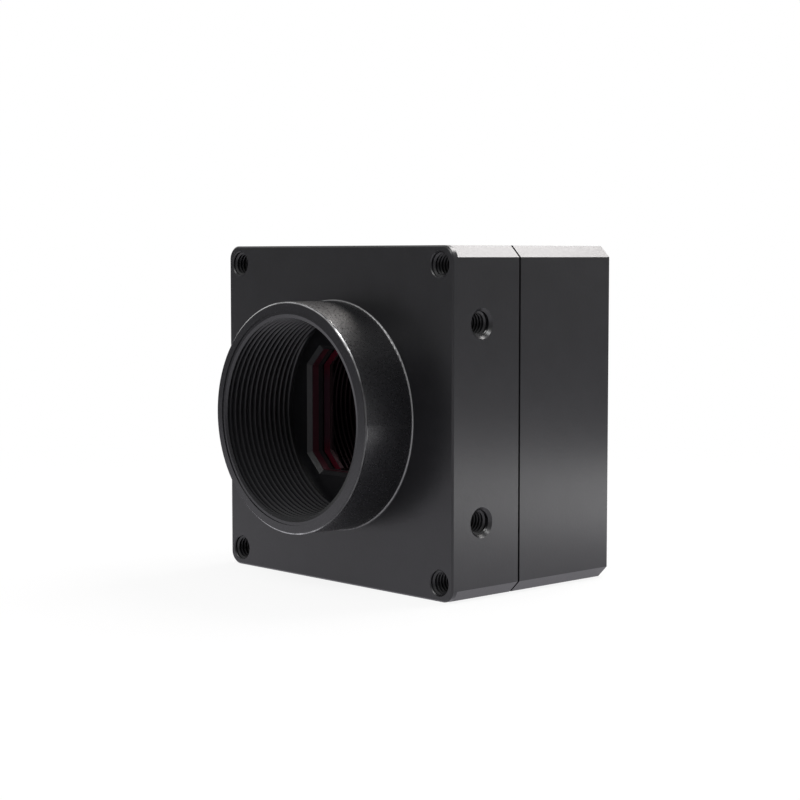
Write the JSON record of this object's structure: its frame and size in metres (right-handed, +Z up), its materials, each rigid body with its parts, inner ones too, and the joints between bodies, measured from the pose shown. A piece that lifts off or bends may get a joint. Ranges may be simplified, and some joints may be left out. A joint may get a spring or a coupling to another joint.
{
  "type": "machine vision camera",
  "caption": "Square black machine vision camera body with a threaded round lens mount, a bevelled sensor window, tapped mounting holes and sockets on the back.",
  "frame": {"origin": "centre of the lens flange face, on the optical axis", "axes": "+Y along the optical axis into the camera, -Y out of the lens thread, +X to the right as seen from the lens, +Z up, square to the base face"},
  "size_m": [0.042, 0.0385, 0.042],
  "materials": {
    "housing_anodised": "bead-blasted black anodised",
    "filter_glass": "interference-coated, polished",
    "cover_glass": "polished",
    "silicon": "polished, iridescent",
    "package_ceramic": "matte",
    "black_silicone": "matte",
    "board_laminate": "solder mask",
    "chip_resin": "moulded resin",
    "capacitor_ceramic": "matte",
    "inductor_ferrite": "matte",
    "oscillator_lid": "satin",
    "connector_plastic": "moulded",
    "standoff_nickel": "nickel-plated",
    "screw_zinc": "zinc-plated",
    "screw_black": "black oxide",
    "socket_steel": "nickel-plated sheet",
    "contact_gold": "gold-plated",
    "socket_nickel": "satin nickel-plated",
    "insert_plastic": "moulded",
    "heat_pad": "soft, matte",
    "light_pipe_clear": "clear moulded",
    "led_lens": "moulded"
  },
  "bodies": {
    "root": {"front_housing": "housing_anodised", "rear_housing": "housing_anodised", "ir_cut_filter": "filter_glass", "sensor_gasket": "black_silicone", "sensor_package": "package_ceramic", "sensor_die": "silicon", "sensor_cover_glass": "cover_glass", "sensor_board": "board_laminate", "sensor_board_capacitors": "capacitor_ceramic", "sensor_board_regulators": "chip_resin", "board_plug": "connector_plastic", "board_receptacle": "connector_plastic", "board_standoffs": "standoff_nickel", "board_screws": "screw_zinc", "main_board": "board_laminate", "image_processor": "chip_resin", "thermal_pad": "heat_pad", "memory_chips": "chip_resin", "interface_controller": "chip_resin", "clock_oscillator": "oscillator_lid", "power_inductors": "inductor_ferrite", "main_board_capacitors": "capacitor_ceramic", "data_socket_shell": "socket_steel", "data_socket_insulator": "connector_plastic", "data_socket_contacts": "contact_gold", "power_socket_shell": "socket_nickel", "power_socket_insert": "insert_plastic", "power_socket_pins": "contact_gold", "power_socket_nut": "standoff_nickel", "power_socket_washer": "screw_zinc", "light_pipe": "light_pipe_clear", "status_led": "led_lens", "housing_screws": "screw_black"}
  },
  "joints": []
}
